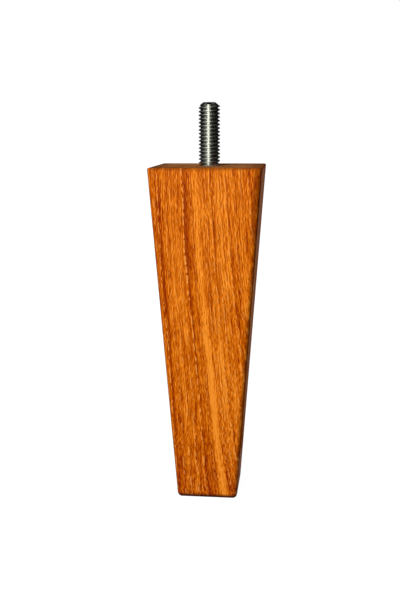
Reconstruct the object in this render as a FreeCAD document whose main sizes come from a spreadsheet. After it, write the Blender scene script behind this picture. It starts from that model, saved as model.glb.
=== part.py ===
"""Square tapered furniture leg of solid wood, with a steel hanger bolt standing out of its wide end.

Millimetres, +Z up. The origin is the centre of the foot, so the leg stands on the plane Z = 0 and the
bolt's axis is the Z axis. The sheet holds the driving dimensions, and every sketch, feature and place
is bound to its cells.
"""
import FreeCAD
import Part
import Sketcher
import math
import os

SIZES = {
    # Wooden leg: a square taper with rounded arrises and foot, and a crisp wide end
    "leg_height": 152.4,
    "top_width": 48.9,
    "foot_width": 27.5,
    "arris_radius": 2.0,
    "top_edge_chamfer": 0.4,
    # Pilot hole drilled for the bolt, with a countersunk mouth that keeps raised fibres below the seat
    "pilot_diameter": 6.4,
    "pilot_overrun": 3.0,
    "drill_point_angle": 118.0,
    "mouth_clearance": 0.4,
    "mouth_angle": 90.0,
    # Hanger bolt, machine end: 16 threads to the inch, 60 degree flanks, flats as shares of the pitch
    "stud_length": 27.7,
    "thread_diameter": 9.4,
    "thread_pitch": 1.5875,
    "thread_angle": 60.0,
    "thread_crest_share": 0.125,
    "thread_root_share": 0.25,
    "tip_flat_diameter": 5.2,
    "tip_chamfer_height": 1.6,
    # Hanger bolt, wood end: plain shank, the core of the wood thread, and a conical point
    "shank_diameter": 8.4,
    "shank_length": 6.8,
    "core_diameter": 6.8,
    "core_length": 22.7,
    "point_length": 6.3,
    "point_flat_diameter": 0.6,
}

# Heights on the bolt, measured up its axis from its point
CORE_START = "Sizes.point_length"
SHANK_START = "(Sizes.point_length + Sizes.core_length)"
SEAT = "(Sizes.point_length + Sizes.core_length + Sizes.shank_length)"
TIP = "(" + SEAT + " + Sizes.stud_length)"

# Radii on the bolt
THREAD_RADIUS = "Sizes.thread_diameter / 2"
SHANK_RADIUS = "Sizes.shank_diameter / 2"
CORE_RADIUS = "Sizes.core_diameter / 2"

# Width of each machine groove at the crests and at its root, and its depth between the flanks
GROOVE_WIDTH = "Sizes.thread_pitch * (1 - Sizes.thread_crest_share)"
ROOT_WIDTH = "Sizes.thread_pitch * Sizes.thread_root_share"
GROOVE_DEPTH = "((" + GROOVE_WIDTH + " - " + ROOT_WIDTH + ") / 2 / tan(Sizes.thread_angle / 2 * 1 deg))"

# How far an edge or a face may be off and still count as lying in a plane
PLANE_TOLERANCE = 0.001


def make_sheet(doc):
    """Put the driving dimensions into a spreadsheet, one named cell each."""
    sheet = doc.addObject("Spreadsheet::Sheet", "Sizes")
    for row, (alias, value) in enumerate(SIZES.items(), start=1):
        sheet.set("A" + str(row), alias)
        sheet.set("B" + str(row), str(value))
        sheet.setAlias("B" + str(row), alias)
    doc.recompute()
    return sheet


def origin_feature(body, role):
    """Return the plane or axis of the body's own origin that has this role."""
    return next(feature for feature in body.Origin.OriginFeatures if feature.Role == role)


def new_sketch(body, name, plane, height=None):
    """Start a sketch on one of the body's origin planes, lifted off it by an expression."""
    sketch = body.newObject("Sketcher::SketchObject", name)
    sketch.AttachmentSupport = [(origin_feature(body, plane), "")]
    sketch.MapMode = "FlatFace"
    if height:
        sketch.setExpression("AttachmentOffset.Base.z", height)
    return sketch


def bind(sketch, name, kind, references, expression):
    """Add a dimension to the sketch and tie it to an expression on the sheet."""
    value = float(sketch.evalExpression(expression))
    index = sketch.addConstraint(Sketcher.Constraint(kind, *references, value))
    sketch.renameConstraint(index, name)
    sketch.setExpression("Constraints." + name, expression)


def closed_outline(sketch, corners):
    """Draw a closed outline from corners given as pairs of expressions; None puts a corner on an axis."""
    def place(expression):
        return float(sketch.evalExpression(expression)) if expression else 0.0

    points = [FreeCAD.Vector(place(across), place(up), 0) for across, up in corners]
    count = len(points)
    for index in range(count):
        sketch.addGeometry(Part.LineSegment(points[index], points[(index + 1) % count]))
    for index in range(count):
        sketch.addConstraint(Sketcher.Constraint("Coincident", index, 2, (index + 1) % count, 1))
    for index, (across, up) in enumerate(corners):
        if across:
            bind(sketch, "across_" + str(index), "DistanceX", (-1, 1, index, 1), across)
        else:
            sketch.addConstraint(Sketcher.Constraint("PointOnObject", index, 1, -2))
        if up:
            bind(sketch, "up_" + str(index), "DistanceY", (-1, 1, index, 1), up)
        else:
            sketch.addConstraint(Sketcher.Constraint("PointOnObject", index, 1, -1))


def centred_square(sketch, width):
    """Draw a square of this width, centred on the sketch's origin."""
    half = float(sketch.evalExpression(width)) / 2
    signs = [(-1, -1), (1, -1), (1, 1), (-1, 1)]
    points = [FreeCAD.Vector(half * x, half * y, 0) for x, y in signs]
    for index in range(4):
        sketch.addGeometry(Part.LineSegment(points[index], points[(index + 1) % 4]))
    for index in range(4):
        sketch.addConstraint(Sketcher.Constraint("Coincident", index, 2, (index + 1) % 4, 1))
    for index, direction in enumerate(("Horizontal", "Vertical", "Horizontal", "Vertical")):
        sketch.addConstraint(Sketcher.Constraint(direction, index))
    sketch.addConstraint(Sketcher.Constraint("Symmetric", 0, 1, 2, 1, -1, 1))
    sketch.addConstraint(Sketcher.Constraint("Equal", 0, 1))
    bind(sketch, "width", "DistanceX", (0, 1, 0, 2), width)


def upright_faces(feature):
    """Name the faces of a feature that stand parallel to the Z axis."""
    names = []
    for index, face in enumerate(feature.Shape.Faces, start=1):
        if abs(face.normalAt(0, 0).z) < PLANE_TOLERANCE:
            names.append("Face" + str(index))
    return names


def edges_between(feature, low, high):
    """Name the edges of a feature whose lowest and highest points lie at these heights."""
    names = []
    for index, edge in enumerate(feature.Shape.Edges, start=1):
        box = edge.BoundBox
        if abs(box.ZMin - low) < PLANE_TOLERANCE and abs(box.ZMax - high) < PLANE_TOLERANCE:
            names.append("Edge" + str(index))
    return names


def revolve(doc, body, kind, name, sketch):
    """Turn a sketch once around the body's Z axis, adding or cutting."""
    feature = body.newObject(kind, name)
    feature.Profile = sketch
    feature.ReferenceAxis = (origin_feature(body, "Z_Axis"), [""])
    feature.Angle = 360
    doc.recompute()
    return feature


def repeat_up(doc, body, name, feature, count, pitch):
    """Repeat a feature up the body's Z axis at a pitch."""
    pattern = body.newObject("PartDesign::LinearPattern", name)
    pattern.Originals = [feature]
    pattern.Direction = (origin_feature(body, "Z_Axis"), [""])
    pattern.Mode = "Spacing"
    pattern.setExpression("Offset", pitch)
    pattern.setExpression("Occurrences", count)
    body.Tip = pattern
    doc.recompute()
    return pattern


def make_hanger_bolt(doc):
    """Turn the hanger bolt: a blank, then the machine thread as parallel grooves of its true section."""
    body = doc.addObject("PartDesign::Body", "hanger_bolt")
    body.setExpression("Placement.Base.z", "Sizes.leg_height - " + SEAT)

    blank_outline = new_sketch(body, "blank_outline", "XZ_Plane")
    closed_outline(blank_outline, [
        (None, None),
        ("Sizes.point_flat_diameter / 2", None),
        (CORE_RADIUS, CORE_START),
        (CORE_RADIUS, SHANK_START),
        (SHANK_RADIUS, SHANK_START + " + " + SHANK_RADIUS + " - " + CORE_RADIUS),
        (SHANK_RADIUS, SEAT + " - " + THREAD_RADIUS + " + " + SHANK_RADIUS),
        (THREAD_RADIUS, SEAT),
        (THREAD_RADIUS, TIP + " - Sizes.tip_chamfer_height"),
        ("Sizes.tip_flat_diameter / 2", TIP),
        (None, TIP),
    ])
    revolve(doc, body, "PartDesign::Revolution", "blank", blank_outline)

    # Each groove of the machine thread opens past the crests, so that its flanks cut cleanly
    crest = "Sizes.thread_pitch * Sizes.thread_crest_share"
    groove_middle = "(" + SEAT + " + " + crest + " + " + GROOVE_WIDTH + " / 2)"
    root_radius = "(" + THREAD_RADIUS + " - " + GROOVE_DEPTH + ")"
    mouth_radius = "(" + THREAD_RADIUS + " + Sizes.thread_pitch)"
    groove_outline = new_sketch(body, "groove_outline", "XZ_Plane")
    closed_outline(groove_outline, [
        (root_radius, groove_middle + " - " + ROOT_WIDTH + " / 2"),
        (THREAD_RADIUS, groove_middle + " - " + GROOVE_WIDTH + " / 2"),
        (mouth_radius, groove_middle + " - " + GROOVE_WIDTH + " / 2"),
        (mouth_radius, groove_middle + " + " + GROOVE_WIDTH + " / 2"),
        (THREAD_RADIUS, groove_middle + " + " + GROOVE_WIDTH + " / 2"),
        (root_radius, groove_middle + " + " + ROOT_WIDTH + " / 2"),
    ])
    before = body.Shape.Volume
    groove = revolve(doc, body, "PartDesign::Groove", "groove", groove_outline)
    if not groove.Shape.Volume < before:
        raise RuntimeError("the machine thread's groove cuts nothing")
    groove_count = "floor(Sizes.stud_length / Sizes.thread_pitch)"
    repeat_up(doc, body, "grooves", groove, groove_count, "Sizes.thread_pitch")
    return body


def make_leg_blank(doc):
    """Shape the wood: taper, rounded arrises and foot, crisp wide end, drilled hole for the bolt."""
    body = doc.addObject("PartDesign::Body", "leg_blank")
    height = SIZES["leg_height"]

    foot_outline = new_sketch(body, "foot_outline", "XY_Plane")
    centred_square(foot_outline, "Sizes.foot_width")
    square_bar = body.newObject("PartDesign::Pad", "square_bar")
    square_bar.Profile = foot_outline
    square_bar.setExpression("Length", "Sizes.leg_height")
    doc.recompute()
    taper = body.newObject("PartDesign::Draft", "taper")
    taper.Base = (square_bar, upright_faces(square_bar))
    taper.NeutralPlane = (origin_feature(body, "XY_Plane"), [""])
    taper.setExpression("Angle", "atan((Sizes.top_width - Sizes.foot_width) / 2 / Sizes.leg_height)")
    taper.Reversed = True
    doc.recompute()

    arrises = edges_between(taper, 0, height) + edges_between(taper, 0, 0)
    rounded = body.newObject("PartDesign::Fillet", "rounded_arrises")
    rounded.Base = (taper, arrises)
    rounded.setExpression("Radius", "Sizes.arris_radius")
    doc.recompute()
    eased = body.newObject("PartDesign::Chamfer", "eased_top")
    eased.Base = (rounded, edges_between(rounded, height, height))
    eased.setExpression("Size", "Sizes.top_edge_chamfer")
    doc.recompute()

    hole_circle = new_sketch(body, "hole_circle", "XY_Plane", "Sizes.leg_height")
    pilot_radius = SIZES["pilot_diameter"] / 2
    hole_circle.addGeometry(Part.Circle(FreeCAD.Vector(), FreeCAD.Vector(0, 0, 1), pilot_radius))
    hole_circle.addConstraint(Sketcher.Constraint("Coincident", 0, 3, -1, 1))
    bind(hole_circle, "pilot", "Diameter", (0,), "Sizes.pilot_diameter")
    before = body.Shape.Volume
    hole = body.newObject("PartDesign::Hole", "pilot_hole")
    hole.Profile = hole_circle
    doc.recompute()
    hole.DepthType = "Dimension"
    hole.setExpression("Depth", SEAT + " + Sizes.pilot_overrun")
    hole.setExpression("Diameter", "Sizes.pilot_diameter")
    hole.HoleCutType = "Countersink"
    hole.HoleCutCustomValues = True
    hole.setExpression("HoleCutDiameter", "Sizes.thread_diameter + 2 * Sizes.mouth_clearance")
    hole.setExpression("HoleCutCountersinkAngle", "Sizes.mouth_angle")
    hole.DrillPoint = "Angled"
    hole.setExpression("DrillPointAngle", "Sizes.drill_point_angle")
    doc.recompute()
    shank_bore = math.pi * pilot_radius ** 2 * SIZES["shank_length"]
    if not body.Shape.Volume < before - shank_bore:
        raise RuntimeError("the pilot hole cuts nothing")
    return body


def make_leg(doc, blank, bolt):
    """Press the bolt's own form into the drilled wood, as driving it in does."""
    leg = doc.addObject("Part::Cut", "leg")
    leg.Base = blank
    leg.Tool = bolt
    doc.recompute()
    return leg


def check(doc, pieces):
    """Stop before anything is written if an object failed or a piece isn't one sound solid."""
    for item in doc.Objects:
        if "Invalid" in item.State or "Error" in item.State:
            raise RuntimeError("failed object: " + item.Label + " " + str(item.State))
    for piece in pieces:
        shape = piece.Shape
        if shape.isNull() or not shape.isValid() or len(shape.Solids) != 1:
            raise RuntimeError("unsound piece: " + piece.Label)


def main():
    """Build the two pieces and write one file each."""
    doc = FreeCAD.newDocument("tapered_leg")
    make_sheet(doc)
    bolt = make_hanger_bolt(doc)
    blank = make_leg_blank(doc)
    leg = make_leg(doc, blank, bolt)
    doc.recompute()
    pieces = [leg, bolt]
    check(doc, pieces)
    os.makedirs("parts", exist_ok=True)
    for piece in pieces:
        piece.Shape.exportStep(os.path.join("parts", piece.Label + ".step"))
        box = piece.Shape.BoundBox
        print("%s: %.1f mm3, Z %.2f to %.2f mm" % (piece.Label, piece.Shape.Volume, box.ZMin, box.ZMax))


main()
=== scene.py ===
"""Tapered wooden furniture leg with a hanger bolt in its wide end: its looks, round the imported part."""

import logging
import math
from dataclasses import dataclass
from enum import Enum
from typing import Callable, NamedTuple, Sequence, Union

import bpy
from mathutils import Matrix, Vector


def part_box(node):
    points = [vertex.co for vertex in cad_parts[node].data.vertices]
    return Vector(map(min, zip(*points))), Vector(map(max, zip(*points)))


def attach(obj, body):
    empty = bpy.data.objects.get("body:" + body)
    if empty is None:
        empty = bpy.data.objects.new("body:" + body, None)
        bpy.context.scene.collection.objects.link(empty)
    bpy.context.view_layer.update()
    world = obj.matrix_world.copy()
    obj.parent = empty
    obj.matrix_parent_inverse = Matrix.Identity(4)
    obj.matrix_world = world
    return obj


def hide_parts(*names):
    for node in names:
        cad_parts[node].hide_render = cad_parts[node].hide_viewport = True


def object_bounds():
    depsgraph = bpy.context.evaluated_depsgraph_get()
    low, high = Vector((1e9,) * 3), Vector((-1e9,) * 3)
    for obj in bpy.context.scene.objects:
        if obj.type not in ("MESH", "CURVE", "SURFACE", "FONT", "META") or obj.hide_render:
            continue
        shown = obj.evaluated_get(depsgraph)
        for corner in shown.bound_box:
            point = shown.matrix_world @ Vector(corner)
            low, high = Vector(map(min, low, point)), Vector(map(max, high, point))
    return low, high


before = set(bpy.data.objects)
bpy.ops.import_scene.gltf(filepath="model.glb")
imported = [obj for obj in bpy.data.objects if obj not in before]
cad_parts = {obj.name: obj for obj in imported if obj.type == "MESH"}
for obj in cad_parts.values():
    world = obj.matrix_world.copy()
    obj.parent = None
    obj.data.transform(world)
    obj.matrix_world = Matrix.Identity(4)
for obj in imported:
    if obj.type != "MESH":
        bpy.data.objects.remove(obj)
CAD_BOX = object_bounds()

log = logging.getLogger("furniture_leg")

MM = 0.001
BODY = "root"

Colour = tuple[float, float, float]
Point = tuple[float, float, float]


def srgb(*screen: int) -> Colour:
    """A colour given as red, green and blue screen values from 0 to 255, as linear light."""
    shares = [value / 255.0 for value in screen]
    return tuple(s / 12.92 if s <= 0.04045 else ((s + 0.055) / 1.055) ** 2.4 for s in shares)


def opaque(colour: Colour) -> tuple[float, float, float, float]:
    """The colour with full alpha, as sockets take it."""
    return (*colour, 1.0)


def put(thing: bpy.types.Object) -> bpy.types.Object:
    """Puts an object in the scene."""
    bpy.context.scene.collection.objects.link(thing)
    return thing


# Node trees: formulas written as arithmetic

@dataclass(frozen=True)
class Value:
    """A number that varies over a mesh, held by one socket of a shader or geometry tree."""

    tree: bpy.types.NodeTree
    socket: bpy.types.NodeSocket

    def __add__(self, other: "Term") -> "Value":
        """Sum."""
        return calculate("ADD", self, other)

    def __radd__(self, other: float) -> "Value":
        """Sum, with the plain number first."""
        return calculate("ADD", other, self)

    def __sub__(self, other: "Term") -> "Value":
        """Difference."""
        return calculate("SUBTRACT", self, other)

    def __rsub__(self, other: float) -> "Value":
        """Difference, with the plain number first."""
        return calculate("SUBTRACT", other, self)

    def __mul__(self, other: "Term") -> "Value":
        """Product."""
        return calculate("MULTIPLY", self, other)

    def __rmul__(self, other: float) -> "Value":
        """Product, with the plain number first."""
        return calculate("MULTIPLY", other, self)

    def __truediv__(self, other: "Term") -> "Value":
        """Quotient."""
        return calculate("DIVIDE", self, other)

    def __abs__(self) -> "Value":
        """Size without its sign."""
        return calculate("ABSOLUTE", self)

    def least(self, other: "Term") -> "Value":
        """The smaller of two."""
        return calculate("MINIMUM", self, other)

    def most(self, other: "Term") -> "Value":
        """The larger of two."""
        return calculate("MAXIMUM", self, other)

    def between(self, low: "Term", high: "Term") -> "Value":
        """The value, held between two limits."""
        return self.most(low).least(high)

    def step(self, low: float, high: float) -> "Value":
        """A smooth step: 0 at low, 1 at high.

        Args:
            low: Where the step starts.
            high: Where it ends. It may be the lower number, for a step that falls.

        Returns:
            The step's height, from 0 to 1.
        """
        node = self.tree.nodes.new("ShaderNodeMapRange")
        node.interpolation_type = "SMOOTHSTEP"
        self.tree.links.new(self.socket, node.inputs["Value"])
        falling = low > high
        node.inputs["From Min"].default_value = high if falling else low
        node.inputs["From Max"].default_value = low if falling else high
        node.inputs["To Min"].default_value = 1.0 if falling else 0.0
        node.inputs["To Max"].default_value = 0.0 if falling else 1.0
        return Value(self.tree, node.outputs["Result"])


Term = Union[Value, float]


def feed(term: Term, slot: bpy.types.NodeSocket) -> None:
    """Puts a value or a plain number into a socket.

    Args:
        term: The value or number.
        slot: The socket.
    """
    if isinstance(term, Value):
        term.tree.links.new(term.socket, slot)
    else:
        slot.default_value = term


def calculate(operation: str, *terms: Term) -> Value:
    """One step of arithmetic.

    Args:
        operation: The math node's operation.
        terms: Its inputs in order, at least one of them a Value.

    Returns:
        The result.
    """
    tree = next(term.tree for term in terms if isinstance(term, Value))
    node = tree.nodes.new("ShaderNodeMath")
    node.operation = operation
    for term, slot in zip(terms, node.inputs):
        feed(term, slot)
    return Value(tree, node.outputs["Value"])


def vector(x: Term, y: Term, z: Term) -> bpy.types.NodeSocket:
    """Three numbers as one vector socket.

    Args:
        x: First part.
        y: Second part.
        z: Third part, at least one of the three being a Value.

    Returns:
        The vector's socket.
    """
    tree = next(term.tree for term in (x, y, z) if isinstance(term, Value))
    node = tree.nodes.new("ShaderNodeCombineXYZ")
    for term, slot in zip((x, y, z), node.inputs):
        feed(term, slot)
    return node.outputs["Vector"]


def split(socket: bpy.types.NodeSocket) -> tuple[Value, Value, Value]:
    """Takes a vector apart.

    Args:
        socket: The vector's socket.

    Returns:
        Its three parts.
    """
    tree = socket.id_data
    node = tree.nodes.new("ShaderNodeSeparateXYZ")
    tree.links.new(socket, node.inputs[0])
    return tuple(Value(tree, part) for part in node.outputs)


def ramp(tone: Value, stops: Sequence[tuple[float, Colour]]) -> bpy.types.NodeSocket:
    """A colour for each value of a tone.

    Args:
        tone: The value, from 0 to 1.
        stops: Places along the ramp with their colours, in order.

    Returns:
        The colour's socket.
    """
    node = tone.tree.nodes.new("ShaderNodeValToRGB")
    elements = node.color_ramp.elements
    while len(elements) < len(stops):
        elements.new(1.0)
    for element, (place, colour) in zip(elements, stops):
        element.position = place
        element.color = opaque(colour)
    tone.tree.links.new(tone.socket, node.inputs["Fac"])
    return node.outputs["Color"]


def mixed(share: Value, under: bpy.types.NodeSocket, over: Colour) -> bpy.types.NodeSocket:
    """A colour laid over another one.

    Args:
        share: How much of the upper colour shows, from 0 to 1.
        under: The lower colour's socket.
        over: The upper colour.

    Returns:
        The mixed colour's socket.
    """
    node = share.tree.nodes.new("ShaderNodeMix")
    node.data_type = "RGBA"
    share.tree.links.new(share.socket, node.inputs[0])
    share.tree.links.new(under, node.inputs[6])
    node.inputs[7].default_value = opaque(over)
    return node.outputs[2]


# Finishes

@dataclass(frozen=True)
class Fade:
    """A share that comes in smoothly along a distance in mm: none of it at the start, all of it at full."""

    share: float
    start: float
    full: float

    def at(self, place: Value) -> Value:
        """The share at a place."""
        return self.share * place.step(self.start, self.full)


@dataclass(frozen=True)
class NoiseLayer:
    """A layer of smooth noise, with the sizes of its features along three directions in mm.

    The shift sets it apart from layers of like sizes, and detail is how many finer layers it holds.
    """

    sizes: tuple[float, float, float]
    weight: float = 1.0
    shift: float = 0.0
    detail: float = 0.0

    def at(self, *place: Value) -> Value:
        """The layer at a place.

        Args:
            place: Its distances along the three directions, in mm.

        Returns:
            The weighted noise, which lies about zero and mostly within a quarter of its weight.
        """
        first, second, third = (part / size for part, size in zip(place, self.sizes))
        tree = first.tree
        node = tree.nodes.new("ShaderNodeTexNoise")
        node.inputs["Scale"].default_value = 1.0
        node.inputs["Detail"].default_value = self.detail
        tree.links.new(vector(first + self.shift, second, third), node.inputs["Vector"])
        return self.weight * (Value(tree, node.outputs[0]) - 0.5)


class RingPlace(NamedTuple):
    """A place in the wood, in mm: across the growth rings, along them and up the leg."""

    across: Value
    along: Value
    up: Value

    def behind(self, distance: float) -> "RingPlace":
        """The place a distance further back across the rings."""
        return self._replace(across=self.across - distance)


@dataclass(frozen=True)
class FleckRows:
    """Fine pale flecks that lie in rows between the grain lines: painted glints on pore edges.

    The spacing is in mm, and places within a row go from 0 to 1. The jumps take each row to its own noise.
    """

    spacing: float = 1.0
    wander: NoiseLayer = NoiseLayer((6.0, 6.0, 45.0), weight=0.7, shift=3.0)
    middle: float = 0.5
    drift: NoiseLayer = NoiseLayer((1.0, 1.0, 9.0), weight=0.9, shift=0.5)
    drift_jumps: tuple[float, float] = (5.7, 3.1)
    half_widths: tuple[float, float] = (0.34, 0.04)
    patches: NoiseLayer = NoiseLayer((1.0, 5.0, 24.0), weight=0.6, shift=0.3)
    patch_jump: float = 3.7
    dashes: NoiseLayer = NoiseLayer((1.0, 2.4, 3.0), shift=0.6)
    dash_jump: float = 8.3
    dash_levels: tuple[float, float] = (0.0, 0.18)

    def mask(self, place: RingPlace) -> Value:
        """Where the flecks are.

        Args:
            place: The place in the wood.

        Returns:
            The mask, 1 in the middle of a fleck.
        """
        rows = place.across / self.spacing + self.wander.at(*place)
        row = calculate("FLOOR", rows)
        first, second = (jump * row for jump in self.drift_jumps)
        middle = self.middle + self.drift.at(first, second, place.along)
        near = abs(rows - row - middle).step(*self.half_widths)
        dashes = self.dashes.at(self.dash_jump * row, place.along, place.up)
        patches = self.patches.at(self.patch_jump * row, place.along, place.up)
        return near * (dashes + patches).step(*self.dash_levels)


@dataclass(frozen=True)
class GrainLine:
    """A line or band of the wood's figure that follows a growth ring.

    Its place and half width are in mm, where it crosses the top edge of the front. Tones are lighter above
    zero and darker below it, and beads say how thickly pores are strung along it, each with a painted
    highlight on its lip. Both go evenly from the first value, at the top, to the second, at the foot.
    """

    place: float
    half_width: float
    tones: tuple[float, float] = (0.0, 0.0)
    beads: tuple[float, float] = (0.0, 0.0)


@dataclass(frozen=True)
class WoodFigure:
    """The figure of the leg's wood: rings round a pith outside the blank, grain lines, streaks and pores.

    Lengths are in mm. The rings run aslant through the square blank, so the taper cuts them into lines that
    lean to the right on their way down the front. Lines widen by their spread towards the foot, and the
    fibres' lengths are those at the foot and at the top.
    """

    height: float
    top_half: float
    foot_half: float
    ring_slant: float = 0.818
    pith_distance: float = 120.0
    run_out: float = 1.0e-4
    run_out_start: float = 10.0
    run_out_fan: float = 0.119
    waves: tuple[NoiseLayer, ...] = (
        NoiseLayer((26.0, 26.0, 55.0), weight=2.2),
        NoiseLayer((4.0, 4.0, 14.0), weight=0.6, shift=7.0),
        NoiseLayer((1.5, 1.5, 4.5), weight=0.6, shift=5.0),
    )
    lines: tuple[GrainLine, ...] = (
        GrainLine(-23.5, 3.0, (-0.08, -0.08)),
        GrainLine(-23.0, 0.45, beads=(0.7, 0.7)),
        GrainLine(-21.3, 0.5, (0.06, 0.05), (0.9, 0.9)),
        GrainLine(-20.6, 2.4, (-0.18, -0.16)),
        GrainLine(-20.4, 0.7, (-0.32, -0.32)),
        GrainLine(-17.9, 0.45, beads=(0.5, 0.7)),
        GrainLine(-15.6, 0.45, (0.05, 0.05), (0.5, 0.8)),
        GrainLine(-13.0, 0.45, (0.05, 0.05), (0.5, 0.8)),
        GrainLine(-10.2, 0.55, (0.06, 0.06), (1.1, 1.1)),
        GrainLine(-9.5, 0.6, (-0.26, -0.34)),
        GrainLine(-8.4, 4.4, (-0.10, -0.09)),
        GrainLine(-6.7, 0.45, beads=(0.6, 0.4)),
        GrainLine(-4.6, 1.8, (0.36, 0.70)),
        GrainLine(-1.9, 0.45, (0.05, 0.05), (0.5, 0.8)),
        GrainLine(-0.4, 0.45, beads=(0.6, 0.6)),
        GrainLine(1.4, 0.55, (0.06, 0.06), (1.0, 0.9)),
        GrainLine(2.1, 0.6, (-0.16, -0.18)),
        GrainLine(3.6, 0.45, beads=(0.6, 0.6)),
        GrainLine(4.0, 10.0, (0.17, 0.09)),
        GrainLine(5.5, 0.45, (0.05, 0.05), (0.6, 0.6)),
        GrainLine(8.0, 0.5, (0.06, 0.05), (0.8, 0.8)),
        GrainLine(8.8, 0.8, (-0.26, -0.24)),
        GrainLine(11.2, 0.45, beads=(0.6, 0.6)),
        GrainLine(12.5, 3.0, (0.10, 0.10)),
        GrainLine(14.6, 0.45, beads=(0.5, 0.5)),
        GrainLine(17.6, 0.5, (0.05, 0.05), (0.8, 0.8)),
        GrainLine(18.5, 0.9, (-0.21, -0.21)),
    )
    line_spread: float = 0.25
    line_fading: NoiseLayer = NoiseLayer((5.0, 5.0, 16.0))
    figure_span: tuple[float, float] = (-28.0, 24.0)
    plain_tone: float = 0.48
    bands: NoiseLayer = NoiseLayer((2.2, 8.0, 110.0), weight=0.60)
    streaks: NoiseLayer = NoiseLayer((0.45, 1.0, 28.0), weight=0.90)
    fibres: NoiseLayer = NoiseLayer((0.26, 0.26, 1.0), weight=1.75, detail=1.0)
    fibre_lengths: tuple[float, float] = (2.4, 4.3)
    paler_middle: Fade = Fade(0.05, 30.0, 80.0)
    darker_foot: Fade = Fade(0.25, 105.0, 155.0)
    flecks: FleckRows = FleckRows()
    # the flecks' painted glints, and the painted shade just behind each one
    fleck_painted_glint: float = 0.36
    fleck_shade: float = 0.20
    knots: NoiseLayer = NoiseLayer((1.6, 2.4, 1.9), shift=9.0)
    knot_levels: tuple[float, float] = (-0.03, 0.10)
    lip_width: float = 0.45
    # Edge darkening: a little stain along the arrises, and painted shade where the rounded edges turn from
    # the lamps, most on the right, high up, on the side faces and at the foot; darker along the top edge
    # too.
    arris_stain_and_shade: Fade = Fade(0.20, 2.4, 0.4)
    right_painted_shade_gain: float = 0.8
    right_turn: tuple[float, float] = (-8.0, 8.0)
    upper_right_painted_shade: Fade = Fade(0.45, 3.4, 2.6)
    upper_heights: tuple[float, float] = (105.0, 140.0)
    flank_painted_shade: Fade = Fade(0.8, 2.6, 1.2)
    flank_turn: tuple[float, float] = (0.3, 0.9)
    foot_edge_painted_shade: Fade = Fade(0.95, 3.0, 1.1)
    top_edge_darkening: Fade = Fade(0.4, 1.5, 0.4)

    def build(self) -> bpy.types.NodeTree:
        """Builds the shader group that reads a place on the wood and gives its figure.

        Returns:
            The group, with the input Place in metres and the outputs Tone, Pores, LipHighlights and
            EdgeStainAndShade: the tone holds the flecks' painted glints and their painted shade,
            LipHighlights the painted highlights on the pores' lips, and EdgeStainAndShade the edges' stain
            and painted shade.
        """
        tree = bpy.data.node_groups.new("wood_figure", "ShaderNodeTree")
        tree.interface.new_socket("Place", in_out="INPUT", socket_type="NodeSocketVector")
        for name in ("Tone", "Pores", "LipHighlights", "EdgeStainAndShade"):
            tree.interface.new_socket(name, in_out="OUTPUT", socket_type="NodeSocketFloat")
        source = tree.nodes.new("NodeGroupInput")
        result = tree.nodes.new("NodeGroupOutput")
        x, y, z = (part / MM for part in split(source.outputs["Place"]))
        place = self._ring_place(x, y, z)
        behind = place.behind(self.lip_width)
        # pale flecks: painted glints on pore edges, with painted shade just behind each one
        light = self.fleck_painted_glint * self.flecks.mask(place)
        shade = self.fleck_shade * self.flecks.mask(behind)
        feed(self._tone(place) + light - shade, result.inputs["Tone"])
        # the pores lie just behind their lips: dark pores, which also give each painted highlight its shaded
        # side
        feed(self._beads(behind), result.inputs["Pores"])
        # the lips of the pores, which carry painted highlights
        feed(self._beads(place), result.inputs["LipHighlights"])
        # the edges' stain and their painted shade
        feed(self._stained_and_shaded_edges(x, y, z), result.inputs["EdgeStainAndShade"])
        return tree

    def _ring_place(self, x: Value, y: Value, z: Value) -> RingPlace:
        """Where a point lies among the growth rings.

        Args:
            x: Place across the front, in mm.
            y: Place front to back, in mm.
            z: Height, in mm.

        Returns:
            The place, with its distance across the rings measured as it shows on the front.
        """
        past = (self.height - z - self.run_out_start).most(0.0)
        moved = x - past * past * self.run_out * (1.0 + self.run_out_fan * x)
        for wave in self.waves:
            moved = moved + wave.at(x, y, z)
        depth = y + self.top_half
        norm = math.hypot(1.0, self.ring_slant)
        side = moved - self.pith_distance / norm
        back = depth + self.pith_distance * self.ring_slant / norm
        radius = calculate("SQRT", side * side + back * back)
        across = norm * (self.pith_distance - radius)
        along = (self.ring_slant * moved + depth) / norm
        return RingPlace(across, along, z)

    def _line_sum(self, place: RingPlace, pick: Callable[[GrainLine], tuple[float, float]]) -> Value:
        """One property of the grain lines added up at a place.

        Args:
            place: The place in the wood.
            pick: Picks the property's values at the top and at the foot.

        Returns:
            The sum, fading from each line's middle to its edges.
        """
        low, high = self.figure_span
        across = calculate("WRAP", place.across, high, low)
        share = (self.height - place.up) / self.height
        spread = 1.0 + self.line_spread * share
        total = None
        for line in self.lines:
            top, foot = pick(line)
            if top or foot:
                near = (abs(across - line.place) / spread).step(line.half_width, 0.0)
                part = near * (top + (foot - top) * share)
                total = part if total is None else total + part
        return total

    def _tone(self, place: RingPlace) -> Value:
        """How light the wood is before its flecks and pores are drawn.

        Args:
            place: The place in the wood.

        Returns:
            The tone, about 0.5 for the plain colour.
        """
        fading = 1.0 + self.line_fading.at(*place)
        lines = self._line_sum(place, lambda line: line.tones) * fading
        shortest, longest = self.fibre_lengths
        longer = longest - shortest
        length = shortest + longer / self.height * place.up
        fibre_count = calculate("LOGARITHM", length, math.e) * (self.height / longer)
        fibres = self.fibres.at(place.across, place.along, fibre_count)
        drop = self.height - place.up
        lift = self.paler_middle.at(drop) - self.darker_foot.at(drop)
        return self.plain_tone + lines + self.bands.at(*place) + self.streaks.at(*place) + fibres + lift

    def _beads(self, place: RingPlace) -> Value:
        """The mask of the short beads that open pores make, strung along the grain lines."""
        crowd = self._line_sum(place, lambda line: line.beads)
        return (self.knots.at(*place).step(*self.knot_levels) * crowd).least(1.0)

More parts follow.
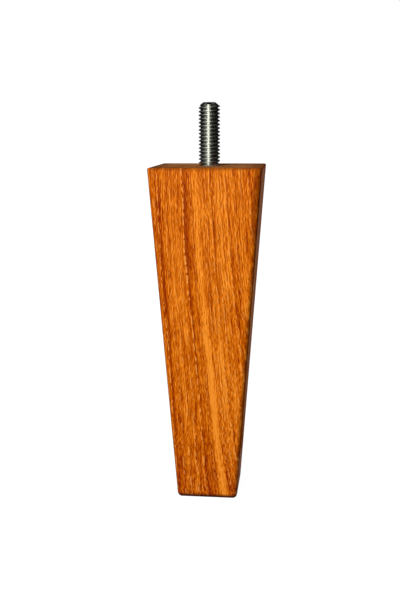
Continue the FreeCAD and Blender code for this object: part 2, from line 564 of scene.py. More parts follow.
    def _stained_and_shaded_edges(self, x: Value, y: Value, z: Value) -> Value:
        """How dark the edges are: partly a stain along the arrises, partly painted shade where the rounded
        edges turn from the lamps, most on the right, high up, on the side faces and at the foot, with
        darkening along the top edge too.

        Args:
            x: Place across the front, in mm.
            y: Place front to back, in mm.
            z: Height, in mm.

        Returns:
            The mask.
        """
        half = self.foot_half + (self.top_half - self.foot_half) / self.height * z
        inside = half - abs(x).least(abs(y))
        right = x.step(*self.right_turn)
        # stain along the arrises on both sides, with painted shade added on the right, away from the key
        # lamp
        along = self.arris_stain_and_shade.at(inside) * (1.0 + self.right_painted_shade_gain * right)
        # painted shade high up along the right-hand edges
        upper = self.upper_right_painted_shade.at(inside) * right * z.step(*self.upper_heights)
        # painted shade on the side faces next to the arrises, where the rounding turns from the light
        flank = self.flank_painted_shade.at(inside) * (abs(x) - abs(y)).step(*self.flank_turn)
        # painted shade on the foot's rounded edge, which turns down from the lamps, and darkening along the
        # top edge
        ends = self.foot_edge_painted_shade.at(z).most(self.top_edge_darkening.at(self.height - z))
        return along.most(upper).most(flank).most(ends)


@dataclass(frozen=True)
class Relief:
    """Fine relief: what a height of 1 stands for, in mm, and how much of it shows."""

    depth: float
    strength: float

    def give(self, shader: bpy.types.Node, height: Value) -> None:
        """Gives a shader the relief.

        Args:
            shader: The shader.
            height: The height over its surface.
        """
        node = height.tree.nodes.new("ShaderNodeBump")
        node.inputs["Distance"].default_value = self.depth * MM
        node.inputs["Strength"].default_value = self.strength
        feed(height, node.inputs["Height"])
        height.tree.links.new(node.outputs["Normal"], shader.inputs["Normal"])


class WoodNodes(NamedTuple):
    """The start of a wood finish: its material and shader, the place on the wood and the figure there."""

    material: bpy.types.Material
    shader: bpy.types.Node
    place: bpy.types.NodeSocket
    tone: Value
    pores: Value
    lip_highlights: Value
    edge_stain_and_shade: Value


def new_material(name: str) -> tuple[bpy.types.Material, bpy.types.NodeTree]:
    """Starts a material.

    Args:
        name: Its name.

    Returns:
        The material and its tree.
    """
    material = bpy.data.materials.new(name)
    material.use_nodes = True
    return material, material.node_tree


def object_place(tree: bpy.types.NodeTree) -> bpy.types.NodeSocket:
    """The place on the object, in metres."""
    return tree.nodes.new("ShaderNodeTexCoord").outputs["Object"]


def wood_nodes(name: str, figure: bpy.types.NodeTree) -> WoodNodes:
    """Starts a material that shows the wood's figure.

    Args:
        name: The material's name.
        figure: The figure's group.

    Returns:
        The material's nodes.
    """
    material, tree = new_material(name)
    place = object_place(tree)
    placed = tree.nodes.new("ShaderNodeGroup")
    placed.node_tree = figure
    tree.links.new(place, placed.inputs["Place"])
    masks = (Value(tree, socket) for socket in placed.outputs)
    return WoodNodes(material, tree.nodes["Principled BSDF"], place, *masks)


@dataclass(frozen=True)
class LacqueredWood:
    """The sides: orange-brown stain under a thin satin lacquer, with painted highlights on the pores' lips
    and painted shade along the edges.
    """

    figure: bpy.types.NodeTree
    stain: tuple[tuple[float, Colour], ...] = (
        (0.0, srgb(140, 42, 0)),
        (0.25, srgb(180, 75, 0)),
        (0.5, srgb(206, 100, 5)),
        (0.75, srgb(229, 122, 18)),
        (1.0, srgb(252, 150, 46)),
    )
    pore_colour: Colour = srgb(132, 46, 0)
    pore_share: float = 0.72
    lip_highlight_colour: Colour = srgb(255, 160, 68)
    lip_highlight_share: float = 0.82
    edge_stain_and_shade_colour: Colour = srgb(70, 14, 0)
    roughness: float = 0.5
    pore_roughness: float = 0.18
    lip_polish: float = 0.06
    lacquer: float = 0.10
    lacquer_roughness: float = 0.3
    tone_height: float = 0.25
    relief: Relief = Relief(0.06, 0.5)

    def build(self) -> bpy.types.Material:
        """Builds the material.

        Returns:
            The material.
        """
        wood = wood_nodes("lacquered_wood", self.figure)
        tree, shader = wood.material.node_tree, wood.shader
        colour = ramp(wood.tone, self.stain)
        colour = mixed(wood.pores * self.pore_share, colour, self.pore_colour)
        # painted highlights on the pores' lips
        colour = mixed(wood.lip_highlights * self.lip_highlight_share, colour, self.lip_highlight_colour)
        # the edges get their stain and their painted shade
        colour = mixed(wood.edge_stain_and_shade, colour, self.edge_stain_and_shade_colour)
        tree.links.new(colour, shader.inputs["Base Color"])
        rough = self.roughness + self.pore_roughness * wood.pores - self.lip_polish * wood.lip_highlights
        feed(rough, shader.inputs["Roughness"])
        shader.inputs["Specular IOR Level"].default_value = 0.0
        shader.inputs["Coat Weight"].default_value = self.lacquer
        shader.inputs["Coat Roughness"].default_value = self.lacquer_roughness
        self.relief.give(shader, wood.tone * self.tone_height - wood.pores)
        return wood.material


@dataclass(frozen=True)
class SawnWood:
    """The two ends and the bolt's hole: end grain that drank the stain, with no lacquer on it.

    The end is darker near its rim, which starts and ends at distances from the axis in mm.
    """

    figure: bpy.types.NodeTree
    stain: tuple[tuple[float, Colour], ...] = (
        (0.0, srgb(110, 60, 28)),
        (0.5, srgb(178, 110, 60)),
        (1.0, srgb(220, 150, 92)),
    )
    pore_colour: Colour = srgb(60, 26, 8)
    pore_share: float = 0.85
    rim_colour: Colour = srgb(84, 38, 12)
    rim: Fade = Fade(0.55, 15.0, 24.0)
    roughness: float = 0.8
    pore_roughness: float = 0.15
    tone_height: float = 0.4
    relief: Relief = Relief(0.10, 0.6)

    def build(self) -> bpy.types.Material:
        """Builds the material.

        Returns:
            The material.
        """
        wood = wood_nodes("sawn_wood", self.figure)
        tree, shader = wood.material.node_tree, wood.shader
        x, y, _ = (part / MM for part in split(wood.place))
        colour = mixed(wood.pores * self.pore_share, ramp(wood.tone, self.stain), self.pore_colour)
        # darker towards the rim of the end
        colour = mixed(self.rim.at(abs(x).most(abs(y))), colour, self.rim_colour)
        tree.links.new(colour, shader.inputs["Base Color"])
        feed(self.roughness + self.pore_roughness * wood.pores, shader.inputs["Roughness"])
        shader.inputs["Specular IOR Level"].default_value = 0.0
        self.relief.give(shader, wood.tone * self.tone_height - wood.pores)
        return wood.material


@dataclass(frozen=True)
class ZincSteel:
    """The bolt: bright zinc on a rolled thread, with roots darkened partly by dirt and partly by painted
    shade, worn crests and marks that run round it.

    Lengths are in mm. The worn rim of a crest is rougher than its polished flanks.
    """

    root_radius: float
    crest_radius: float
    bright: Colour = (0.85, 0.865, 0.79)
    dull_and_root_shade: Colour = (0.66, 0.675, 0.59)
    root_dirt_and_shade_depth: float = 0.3
    bright_outside: float = 0.2
    rim_share: float = 0.5
    roughness: float = 0.17
    crest_roughness: float = 0.375
    crest_wear: tuple[float, float] = (0.16, 0.02)
    marks: NoiseLayer = NoiseLayer((2.2, 2.2, 0.16), detail=1.0)
    mark_share: float = 0.2
    mark_relief: Relief = Relief(0.004, 0.2)
    blooms: NoiseLayer = NoiseLayer((1.3, 1.3, 1.3), detail=2.0)
    bloom_share: float = 0.35
    bloom_roughness: float = 0.08

    def build(self) -> bpy.types.Material:
        """Builds the material.

        Returns:
            The material.
        """
        material, tree = new_material("zinc_steel")
        shader = tree.nodes["Principled BSDF"]
        x, y, z = (part / MM for part in split(object_place(tree)))
        radius = calculate("SQRT", x * x + y * y)
        marks = self.marks.at(x, y, z + radius)
        blooms = self.blooms.at(x, y, z)
        # darker towards the thread's roots: partly dirt, partly painted shade in the recesses
        bright = radius.step(self.root_radius - self.root_dirt_and_shade_depth, self.crest_radius - self.bright_outside)
        bright = bright + self.mark_share * marks + self.bloom_share * blooms
        colour = ramp(bright.between(0.0, 1.0), ((0.0, self.dull_and_root_shade), (1.0, self.bright)))
        tree.links.new(colour, shader.inputs["Base Color"])
        shader.inputs["Metallic"].default_value = 1.0
        shader.inputs["Specular Tint"].default_value = opaque((self.rim_share,) * 3)
        crest = radius.step(*(self.crest_radius - depth for depth in self.crest_wear))
        rough = self.roughness + (self.crest_roughness - self.roughness) * crest
        feed(rough + self.bloom_roughness * blooms, shader.inputs["Roughness"])
        self.mark_relief.give(shader, marks)
        return material


# The object

@dataclass(frozen=True)
class Outline:
    """One turn of points round the leg: a square with rounded corners, or a circle for the bolt's hole.

    Lengths are in mm.
    """

    height: float
    half: float
    corner: float
    round_hole: bool = False


@dataclass
class TaperedLeg:
    """The leg: a square of wood, tapered on all sides, with eased arrises and a hole for the bolt.

    Lengths are in mm. Rows of points stand the guard away from the edges, so that the flats beside them
    shade evenly, and the shares say where rows lie on the ends and on the chamfer.
    """

    height: float
    top_half: float
    foot_half: float = 13.75
    arris_radius: float = 2.0
    top_chamfer: float = 0.4
    mouth_radius: float = 5.1
    shank_radius: float = 4.2
    shank_bottom: float = 146.4
    core_radius: float = 3.4
    core_top: float = 145.6
    core_bottom: float = 122.9
    pilot_radius: float = 3.2
    pilot_bottom: float = 113.6
    drill_point: float = 111.7
    corner_steps: int = 10
    flat_steps: int = 12
    side_rows: int = 40
    guard: float = 0.15
    guard_share: float = 0.2
    least_corner: float = 0.05
    foot_shares: tuple[float, ...] = (0.2, 0.5, 0.8, 0.97, 1.0)
    chamfer_shares: tuple[float, ...] = (0.0, 0.12, 0.88, 1.0)
    top_shares: tuple[float, ...] = (0.995, 0.9, 0.7, 0.5, 0.35)

    @classmethod
    def from_frame(cls) -> "TaperedLeg":
        """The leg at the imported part's height and width.

        Returns:
            The leg.
        """
        low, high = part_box("leg")
        height = (high.z - low.z) / MM
        widest = high.x / MM
        taper = (widest - cls.foot_half) / (height - cls.top_chamfer)
        return cls(height=height, top_half=cls.foot_half + taper * height)

    def half_at(self, z: float) -> float:
        """Half the leg's width at a height."""
        return self.foot_half + (self.top_half - self.foot_half) * z / self.height

    def build(self, side: bpy.types.Material, end: bpy.types.Material) -> bpy.types.Object:
        """Builds the leg and puts it in its node's place.

        Args:
            side: The finish of the sides.
            end: The finish of the two ends and the hole.

        Returns:
            The leg's object.
        """
        foot, sides, top = self._foot_rows(), self._side_rows(), self._top_rows()
        turns = [self._points(outline) for outline in (*foot, *sides, *top)]
        count = len(turns[0])
        points = [point for turn in turns for point in turn]
        faces = []
        for row in range(len(turns) - 1):
            base = row * count
            for step in range(count):
                ahead = (step + 1) % count
                faces.append((base + step, base + ahead, base + count + ahead, base + count + step))
        under, drill = len(points), len(points) + 1
        points += [(0.0, 0.0, 0.0), (0.0, 0.0, self.drill_point * MM)]
        last = (len(turns) - 1) * count
        faces += [(under, (step + 1) % count, step) for step in range(count)]
        faces += [(drill, last + step, last + (step + 1) % count) for step in range(count)]
        mesh = bpy.data.meshes.new("leg")
        mesh.from_pydata(points, [], faces)
        mesh.materials.append(side)
        mesh.materials.append(end)
        first_side = (len(foot) - 1) * count
        first_top = (len(foot) + len(sides) - 1) * count
        for index, face in enumerate(mesh.polygons):
            face.use_smooth = True
            face.material_index = 0 if first_side <= index < first_top else 1
        mesh.validate()
        piece = put(bpy.data.objects.new("tapered_leg", mesh))
        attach(piece, BODY)
        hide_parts("leg")
        return piece

    def _foot_rows(self) -> list[Outline]:
        """The flat of the foot, from near its middle to where its rounded edge starts."""
        flat = self.half_at(self.arris_radius) - self.arris_radius
        return [Outline(0.0, flat * share, self.least_corner * share) for share in self.foot_shares]

    def _side_rows(self) -> list[Outline]:
        """The rounded edge of the foot, the tapered sides and the small chamfer under the top.

        Returns:
            Their rows, from the foot up.
        """
        rows = []
        for step in range(1, self.corner_steps + 1):
            angle = math.pi / 2 * step / self.corner_steps
            z = self.arris_radius * (1.0 - math.cos(angle))
            inset = self.arris_radius * (1.0 - math.sin(angle))
            corner = max(self.arris_radius - inset, self.least_corner)
            rows.append(Outline(z, self.half_at(z) - inset, corner))
        start = self.arris_radius + self.guard
        stop = self.height - self.top_chamfer - self.guard
        for step in range(self.side_rows + 1):
            z = start + (stop - start) * step / self.side_rows
            rows.append(Outline(z, self.half_at(z), self.arris_radius))
        z = self.height - self.top_chamfer
        for share in self.chamfer_shares:
            inset = self.top_chamfer * share
            rows.append(Outline(z + inset, self.half_at(z) - inset, self.arris_radius - inset))
        return rows

    def _top_rows(self) -> list[Outline]:
        """The flat top round the bolt, and its hole down to the end of the drilling.

        Returns:
            Their rows, from the rim of the top inwards and down.
        """
        edge = self.half_at(self.height) - self.top_chamfer
        corner = self.arris_radius - self.top_chamfer
        rows = [Outline(self.height, edge * share, corner * share) for share in self.top_shares]
        mouth_depth = self.mouth_radius - self.shank_radius
        profile = (
            (self.mouth_radius + self.guard, self.height),
            (self.mouth_radius, self.height),
            (self.shank_radius, self.height - mouth_depth),
            (self.shank_radius, self.shank_bottom),
            (self.core_radius, self.core_top),
            (self.core_radius, self.core_bottom),
            (self.pilot_radius, self.core_bottom),
            (self.pilot_radius, self.pilot_bottom),
        )
        rows += [Outline(z, radius, radius, round_hole=True) for radius, z in profile]
        return rows

    def _points(self, outline: Outline) -> list[Point]:
        """The points of one turn, anticlockwise from above, in metres.

        Args:
            outline: The turn's shape.

        Returns:
            As many points for every outline, so that turns join point to point.
        """
        flat = outline.half - outline.corner
        guard = min(self.guard, self.guard_share * flat) if flat > 0.0 else 0.0
        stops = [-flat]
        for step in range(self.flat_steps + 1):
            stops.append((flat - guard) * (2.0 * step / self.flat_steps - 1.0))
        side = [(stop, -outline.half) for stop in stops]
        for step in range(self.corner_steps):
            angle = math.pi / 2 * step / self.corner_steps
            across = flat + outline.corner * math.sin(angle)
            side.append((across, -flat - outline.corner * math.cos(angle)))
        if outline.round_hole:
            share = len(side)
            angles = [math.radians(-135.0 + 90.0 * step / share) for step in range(share)]
            side = [(outline.half * math.cos(a), outline.half * math.sin(a)) for a in angles]
        points = []
        height = MM * outline.height
        for cos, sin in ((1, 0), (0, 1), (-1, 0), (0, -1)):
            points += [(MM * (x * cos - y * sin), MM * (x * sin + y * cos), height) for x, y in side]
        return points


class ThreadKind(Enum):
    """The two threads of a hanger bolt."""

    MACHINE = "machine"
    WOOD = "wood"


@dataclass
class HangerBolt:
    """The hanger bolt: a machine thread above the seat, a plain shank and a wood thread below it.

    Lengths are in mm. Both threads are right-hand helices, made by one geometry tree. The run-out is
    measured down from the seat, the neck up from the bottom of the shank, and the ridge's end down from it.
    """

    tip: float
    point: float
    seat: float
    crest_radius: float
    pitch: float = 1.5875
    crest_share: float = 0.24
    root_share: float = 0.14
    flank_angle: float = 29.5
    tooth_height: float = -0.25
    tip_flat_radius: float = 2.6
    tip_chamfer: float = 1.6
    shank_radius: float = 4.2
    shank_bottom: float = 145.6
    core_radius: float = 3.4
    point_length: float = 6.3
    point_radius: float = 0.3
    wood_pitch: float = 25.4 / 7.0
    wood_ridge: float = 1.25
    run_out: tuple[float, float] = (0.9, 0.1)
    neck: tuple[float, float] = (-0.2, 0.6)
    ridge_flat: float = 0.08
    ridge_flank: float = 0.36
    ridge_start: float = 0.4
    ridge_end: tuple[float, float] = (0.2, 2.6)
    tip_gap: float = 0.001
    weld_distance: float = 0.0005
    spare_turns: int = 2
    turn_steps: int = 64
    machine_rows: int = 32
    wood_rows: int = 16

    @classmethod
    def from_frame(cls) -> "HangerBolt":
        """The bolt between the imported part's own ends.

        Returns:
            The bolt.
        """
        low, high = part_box("hanger_bolt")
        _, leg_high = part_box("leg")
        tip = high.z / MM - cls.tip_gap
        return cls(tip=tip, point=low.z / MM, seat=leg_high.z / MM, crest_radius=high.x / MM)

    @property
    def thread_depth(self) -> float:
        """Depth of the machine thread."""
        flank = (1.0 - self.crest_share - self.root_share) / 2.0 * self.pitch
        return flank / math.tan(math.radians(self.flank_angle))

    @property
    def root_radius(self) -> float:
        """Radius at the bottom of the machine thread."""
        return self.crest_radius - self.thread_depth

    @property
    def weld_height(self) -> float:
        """Height on the shank where the two threads are welded together."""
        return self.seat - self.pitch

    @property
    def sizes(self) -> dict[str, float]:
        """The geometry tree's named inputs with their values."""
        return {
            "Tip height": self.tip,
            "Point height": self.point,
            "Weld height": self.weld_height,
            "Crest radius": self.crest_radius,
            "Thread depth": self.thread_depth,
            "Shank radius": self.shank_radius,
            "Core radius": self.core_radius,
            "Ridge": self.wood_ridge,
        }

    def build(self, steel: bpy.types.Material) -> bpy.types.Object:
        """Builds the bolt and puts it in its node's place.

        Args:
            steel: Its finish.

        Returns:
            The bolt's object.
        """
        piece = put(bpy.data.objects.new("hanger_bolt_steel", bpy.data.meshes.new("hanger_bolt")))
        modifier = piece.modifiers.new("threads", "NODES")
        modifier.node_group = self._tree(steel)
        for item in modifier.node_group.interface.items_tree:
            if item.name in self.sizes:
                modifier[item.identifier] = self.sizes[item.name]
        settled = piece.evaluated_get(bpy.context.evaluated_depsgraph_get())
        mesh = bpy.data.meshes.new_from_object(settled)
        piece.modifiers.remove(modifier)
        piece.data = mesh
        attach(piece, BODY)
        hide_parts("hanger_bolt")
        return piece

    def _tree(self, steel: bpy.types.Material) -> bpy.types.NodeTree:
        """The geometry tree that winds both threads and welds them at the shank.

        Args:
            steel: The bolt's finish.

        Returns:
            The tree.
        """
        tree = bpy.data.node_groups.new("bolt_threads", "GeometryNodeTree")
        for name in self.sizes:
            tree.interface.new_socket(name, in_out="INPUT", socket_type="NodeSocketFloat")
        tree.interface.new_socket("Bolt", in_out="OUTPUT", socket_type="NodeSocketGeometry")
        source = tree.nodes.new("NodeGroupInput")
        size = {socket.name: Value(tree, socket) for socket in source.outputs if socket.name}
        join = tree.nodes.new("GeometryNodeJoinGeometry")
        for kind in ThreadKind:
            tree.links.new(self._winding(tree, kind, size), join.inputs[0])
        weld = tree.nodes.new("GeometryNodeMergeByDistance")
        weld.inputs["Distance"].default_value = self.weld_distance * MM
        smooth = tree.nodes.new("GeometryNodeSetShadeSmooth")
        realize = tree.nodes.new("GeometryNodeRealizeInstances")
        dress = tree.nodes.new("GeometryNodeSetMaterial")
        dress.inputs["Material"].default_value = steel
        result = tree.nodes.new("NodeGroupOutput")
        chain = (join, weld, smooth, realize, dress, result)
        for earlier, later in zip(chain, chain[1:]):
            tree.links.new(earlier.outputs[0], later.inputs[0])
        return tree

    def _winding(
        self, tree: bpy.types.NodeTree, kind: ThreadKind, size: dict[str, Value]
    ) -> bpy.types.NodeSocket:
        """One thread as a sheet wound up its helix.

        Args:
            tree: The geometry tree.
            kind: Which thread.
            size: The tree's named sizes.

        Returns:
            The socket of the wound sheet.
        """
        machine = kind is ThreadKind.MACHINE
        pitch = self.pitch if machine else self.wood_pitch
        rows = self.machine_rows if machine else self.wood_rows
        low = self.weld_height if machine else self.point
        high = self.tip if machine else self.weld_height
        start = low - self.spare_turns * pitch
        if machine:
            start -= (start - self.tooth_height) % pitch
        turns = math.ceil((high + pitch - start) / pitch) + 1
        grid = tree.nodes.new("GeometryNodeMeshGrid")
        grid.inputs["Size X"].default_value = 1.0
        grid.inputs["Size Y"].default_value = 1.0
        grid.inputs["Vertices X"].default_value = self.turn_steps + 1
        grid.inputs["Vertices Y"].default_value = turns * rows + 1
        place = tree.nodes.new("GeometryNodeInputPosition").outputs["Position"]
        sheet_x, sheet_y, _ = split(place)
        turn = sheet_x + 0.5
        rise = (sheet_y + 0.5) * float(turns)
        wave = abs(calculate("FRACT", rise) - 0.5) * 2.0
        raw = start + (rise + turn) * pitch
        if machine:
            radius, z = self._machine_radius(raw, wave, size)
        else:
            radius, z = self._wood_radius(raw, wave, size)
        angle = turn * math.tau
        east = radius * calculate("COSINE", angle) * MM
        north = radius * calculate("SINE", angle) * MM
        move = tree.nodes.new("GeometryNodeSetPosition")
        tree.links.new(grid.outputs["Mesh"], move.inputs["Geometry"])
        tree.links.new(vector(east, north, z * MM), move.inputs["Position"])
        return move.outputs["Geometry"]

    def _machine_radius(self, raw: Value, wave: Value, size: dict[str, Value]) -> tuple[Value, Value]:
        """Radius and height on the machine thread, its run-out at the seat and its chamfered tip.

        Args:
            raw: Height along the helix before the ends are closed.
            wave: 0 at a crest's middle, 1 at a root's.
            size: The tree's named sizes.

        Returns:
            The radius and the height.
        """
        tip = size["Tip height"]
        z = raw.most(size["Weld height"]).least(tip)
        fall = ((wave - self.crest_share) / (1.0 - self.crest_share - self.root_share)).between(0.0, 1.0)
        thread = size["Crest radius"] - size["Thread depth"] * fall
        full = raw.step(*(self.seat - depth for depth in self.run_out))
        radius = size["Shank radius"] + (thread - size["Shank radius"]) * full
        slope = (self.crest_radius - self.tip_flat_radius) / self.tip_chamfer
        radius = radius.least(self.tip_flat_radius + (tip - z) * slope)
        closing = (1.0 - (raw - tip).most(0.0) / self.pitch).most(0.0)
        return radius * closing, z

    def _wood_radius(self, raw: Value, wave: Value, size: dict[str, Value]) -> tuple[Value, Value]:
        """Radius and height on the wood thread, from its point to the shank.

        Args:
            raw: Height along the helix before the ends are closed.
            wave: 0 at a ridge's middle, 1 half-way to the next.
            size: The tree's named sizes.

        Returns:
            The radius and the height.
        """
        point = size["Point height"]
        z = raw.most(point).least(size["Weld height"])
        slope = (self.core_radius - self.point_radius) / self.point_length
        core = (self.point_radius + (z - point) * slope).least(size["Core radius"])
        neck = raw.step(*(self.shank_bottom + rise for rise in self.neck))
        body = core + (size["Shank radius"] - core) * neck
        ridge = 1.0 - ((wave - self.ridge_flat) / self.ridge_flank).between(0.0, 1.0)
        grown = raw.step(self.point + self.ridge_start, self.point + self.point_length)
        ended = raw.step(*(self.shank_bottom - depth for depth in self.ridge_end))
        radius = body + size["Ridge"] * ridge * grown * ended
        closing = (1.0 - (point - raw).most(0.0) / self.wood_pitch).most(0.0)
        return radius * closing, z


# The studio

# Rims that cards hang between: a radius and a height above the floor, in metres
WALL_FOOT = (0.9, 0.002)
WALL_TOP = (0.6, 0.75)
BACK_FOOT = (0.85, 0.11)
GROUND_MIDDLE = (0.05, WALL_FOOT[1])
LID_MIDDLE = (0.27, WALL_TOP[1])
LID_HOLE = (0.001, WALL_TOP[1])
SEAT_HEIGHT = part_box("leg")[1].z + 0.3 * MM
SEAT_RIM = (0.024, SEAT_HEIGHT)
SEAT_HOLE = (0.0056, SEAT_HEIGHT)

DARK = 0.005


@dataclass(frozen=True)
class Lamp:
    """A soft square lamp that lights the object but isn't mirrored in it.

    Azimuth is in degrees from the front, positive to the right, and lengths are in metres.
    """

    name: str
    azimuth: float
    elevation: float
    distance: float
    size: float
    power: float

    def build(self, target: Vector) -> bpy.types.Object:
        """Hangs the lamp so that it faces a point.

        Args:
            target: What it faces.

        Returns:
            The lamp's object.
        """
        data = bpy.data.lights.new(self.name, "AREA")
        data.shape = "SQUARE"
        data.size = self.size
        data.energy = self.power
        lamp = bpy.data.objects.new(self.name, data)
        away = towards(math.radians(self.azimuth), math.radians(self.elevation))
        lamp.location = target + away * self.distance
        lamp.rotation_euler = away.to_track_quat("Z", "Y").to_euler()
        lamp.visible_camera = False
        lamp.visible_glossy = False
        return put(lamp)


@dataclass(frozen=True)
class Card:
    """A card bent round the object between two circles, that only polished surfaces mirror.

    Azimuths are in degrees from the front, positive to the right. Each rim is a radius and a height above
    the floor, in metres.
    """

    name: str
    start: float
    stop: float
    low_rim: tuple[float, float]
    high_rim: tuple[float, float]
    brightness: float
    steps: int = 48

    def build(self) -> bpy.types.Object:
        """Hangs the card.

        Returns:
            The card's object.
        """
        points = []
        for step in range(self.steps + 1):
            turn = math.radians(self.start + (self.stop - self.start) * step / self.steps)
            for radius, height in (self.low_rim, self.high_rim):
                points.append((radius * math.sin(turn), -radius * math.cos(turn), height))
        faces = [(2 * step, 2 * step + 2, 2 * step + 3, 2 * step + 1) for step in range(self.steps)]
        mesh = bpy.data.meshes.new(self.name)
        mesh.from_pydata(points, [], faces)
        mesh.materials.append(glowing(self.name, self.brightness))
        return mirrored_only(bpy.data.objects.new(self.name, mesh))


def towards(turn: float, lift: float) -> Vector:
    """The direction at an azimuth from the front and an elevation, both in radians."""
    return Vector((math.sin(turn) * math.cos(lift), -math.cos(turn) * math.cos(lift), math.sin(lift)))


def glowing(name: str, brightness: float) -> bpy.types.Material:
    """An even glow for a card.

    Args:
        name: The material's name.
        brightness: Its brightness, 1 being white.

    Returns:
        The material.
    """
    material, tree = new_material(name)
    tree.nodes.clear()
    glow = tree.nodes.new("ShaderNodeEmission")
    glow.inputs["Strength"].default_value = brightness
    tree.links.new(glow.outputs[0], tree.nodes.new("ShaderNodeOutputMaterial").inputs["Surface"])
    return material


def mirrored_only(card: bpy.types.Object) -> bpy.types.Object:
    """Puts a card in the studio, seen by reflections alone.

    Args:
        card: The card.

    Returns:
        The same card.
    """
    card.visible_camera = False
    card.visible_diffuse = False
    card.visible_transmission = False
    card.visible_shadow = False
    put(card)
    return card


def background_share(tree: bpy.types.NodeTree) -> Value:
    """Tells what is seen directly from what only lights the object.

    Args:
        tree: The shader's tree.

    Returns:
        1 for what the camera, a mirror or glass sees, 0 for light that falls on the object.
    """
    path = tree.nodes.new("ShaderNodeLightPath")
    camera, glossy, clear = (
        Value(tree, path.outputs[name]) for name in ("Is Camera Ray", "Is Glossy Ray", "Is Transmission Ray")
    )
    return camera.most(glossy).most(clear)


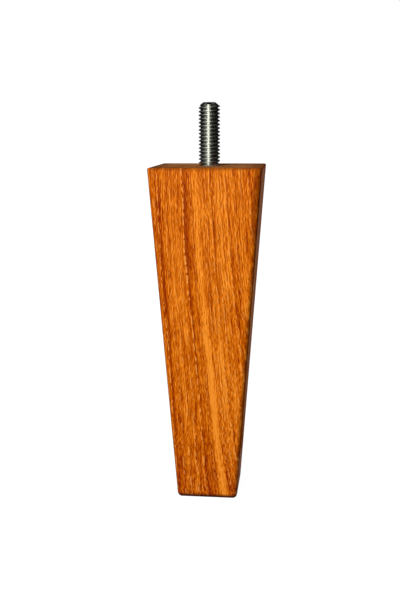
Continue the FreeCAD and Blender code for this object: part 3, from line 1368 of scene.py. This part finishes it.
@dataclass
class Studio:
    """A plain white studio: a pale floor, soft lamps, and cards for the bolt to mirror."""

    ambient: float = 0.12
    floor_size: float = 8.0
    floor_lift: float = 0.02 * MM
    floor_grey: float = 0.15
    floor_glow: float = 0.975
    far_glow: float = 1.05
    shadow_reach: tuple[float, float] = (0.15, 0.45)
    lamps: tuple[Lamp, ...] = (
        Lamp("key_lamp", -20.0, 25.0, 1.1, 0.35, 12.0),
        Lamp("left_lamp", -80.0, 5.0, 1.2, 0.6, 2.6),
        Lamp("right_rear_lamp", 125.0, 5.0, 1.2, 0.6, 2.3),
        Lamp("left_rear_lamp", -140.0, 5.0, 1.2, 0.6, 4.3),
    )
    cards: tuple[Card, ...] = (
        Card("bright_strip", -20.0, 3.0, WALL_FOOT, WALL_TOP, 3.1),
        Card("near_grey_card", -38.0, -20.0, WALL_FOOT, WALL_TOP, 0.56),
        Card("grey_card", -64.0, -38.0, WALL_FOOT, WALL_TOP, 0.24),
        Card("far_grey_card", -105.0, -64.0, WALL_FOOT, WALL_TOP, 0.045),
        Card("right_grey_card", 3.0, 22.0, WALL_FOOT, WALL_TOP, 0.30),
        Card("far_right_card", 22.0, 48.0, WALL_FOOT, WALL_TOP, 0.05),
        Card("dark_right_card", 48.0, 165.0, WALL_FOOT, WALL_TOP, DARK),
        Card("dark_back_card", 165.0, 192.0, BACK_FOOT, WALL_TOP, DARK),
        Card("dark_left_card", 192.0, 255.0, WALL_FOOT, WALL_TOP, DARK),
        Card("ground_card", -168.0, 165.0, GROUND_MIDDLE, WALL_FOOT, 0.01),
        Card("seat_card", -180.0, 180.0, SEAT_RIM, SEAT_HOLE, 0.03),
        Card("lid", -180.0, 180.0, WALL_TOP, LID_MIDDLE, 0.10),
        Card("dark_lid", -180.0, 180.0, LID_MIDDLE, LID_HOLE, 0.008),
    )

    def build(self, target: Vector) -> None:
        """Sets the studio up.

        Args:
            target: The middle of the object, which the lamps face.
        """
        self._world()
        self._floor()
        for lamp in self.lamps:
            lamp.build(target)
        for card in self.cards:
            card.build()
        bpy.context.scene.view_settings.view_transform = "Standard"

    def _world(self) -> None:
        """White behind the object, and an even grey light from all round."""
        world = bpy.data.worlds.new("studio")
        world.use_nodes = True
        tree = world.node_tree
        background = tree.nodes["Background"]
        strength = self.ambient + (1.0 - self.ambient) * background_share(tree)
        feed(strength, background.inputs["Strength"])
        background.inputs["Color"].default_value = opaque((1.0, 1.0, 1.0))
        bpy.context.scene.world = world

    def _floor(self) -> None:
        """A pale floor with the object's soft shadow, white further out and clear from below."""
        half = self.floor_size / 2.0
        mesh = bpy.data.meshes.new("floor")
        corners = [(x * half, y * half, self.floor_lift) for x, y in ((-1, -1), (1, -1), (1, 1), (-1, 1))]
        mesh.from_pydata(corners, [], [(0, 1, 2, 3)])
        floor = put(bpy.data.objects.new("floor", mesh))
        material, tree = new_material("floor")
        tree.nodes.clear()
        x, y, _ = split(object_place(tree))
        far = calculate("SQRT", x * x + y * y).step(*self.shadow_reach)
        glow = tree.nodes.new("ShaderNodeEmission")
        strength = background_share(tree) * (self.floor_glow + (self.far_glow - self.floor_glow) * far)
        feed(strength, glow.inputs["Strength"])
        matt = tree.nodes.new("ShaderNodeBsdfDiffuse")
        matt.inputs["Color"].default_value = opaque((self.floor_grey,) * 3)
        both = tree.nodes.new("ShaderNodeAddShader")
        tree.links.new(glow.outputs[0], both.inputs[0])
        tree.links.new(matt.outputs[0], both.inputs[1])
        sided = tree.nodes.new("ShaderNodeMixShader")
        tree.links.new(tree.nodes.new("ShaderNodeNewGeometry").outputs["Backfacing"], sided.inputs["Fac"])
        tree.links.new(both.outputs[0], sided.inputs[1])
        tree.links.new(tree.nodes.new("ShaderNodeBsdfTransparent").outputs[0], sided.inputs[2])
        tree.links.new(sided.outputs[0], tree.nodes.new("ShaderNodeOutputMaterial").inputs["Surface"])
        mesh.materials.append(material)


@dataclass(frozen=True)
class Viewpoint:
    """The camera. Its place, its lens and the long side of its sensor are in mm, its turns in degrees."""

    place: Point = (40.239, -401.328, 170.893)
    yaw: float = -6.3541
    down: float = 11.1744
    roll: float = 0.2047
    lens: float = 53.6182
    sensor: float = 36.0

    def build(self) -> bpy.types.Object:
        """Makes the camera and gives it to the scene.

        Returns:
            The camera's object.
        """
        yaw, down, roll = (math.radians(angle) for angle in (self.yaw, self.down, self.roll))
        ahead = Vector((math.sin(yaw) * math.cos(down), math.cos(yaw) * math.cos(down), -math.sin(down)))
        level = Vector((math.cos(yaw), -math.sin(yaw), 0.0))
        fall = ahead.cross(level)
        right = math.cos(roll) * level + math.sin(roll) * fall
        up = math.sin(roll) * level - math.cos(roll) * fall
        turn = Matrix((right, up, -ahead)).transposed()
        data = bpy.data.cameras.new("camera")
        data.sensor_width = self.sensor
        data.lens = self.lens
        camera = put(bpy.data.objects.new("camera", data))
        camera.matrix_world = Matrix.Translation(Vector(self.place) * MM) @ turn.to_4x4()
        bpy.context.scene.camera = camera
        return camera


def main() -> None:
    """Builds the finishes, the two pieces, the studio and the camera."""
    logging.basicConfig(level=logging.INFO, format="%(name)s: %(message)s")
    leg = TaperedLeg.from_frame()
    bolt = HangerBolt.from_frame()
    figure = WoodFigure(height=leg.height, top_half=leg.top_half, foot_half=leg.foot_half).build()
    pieces = (
        leg.build(LacqueredWood(figure).build(), SawnWood(figure).build()),
        bolt.build(ZincSteel(bolt.root_radius, bolt.crest_radius).build()),
    )
    for piece in pieces:
        log.info("%s: %d faces", piece.name, len(piece.data.polygons))
    low, high = CAD_BOX
    Studio().build((low + high) / 2.0)
    Viewpoint().build()


if __name__ == "__main__":
    main()
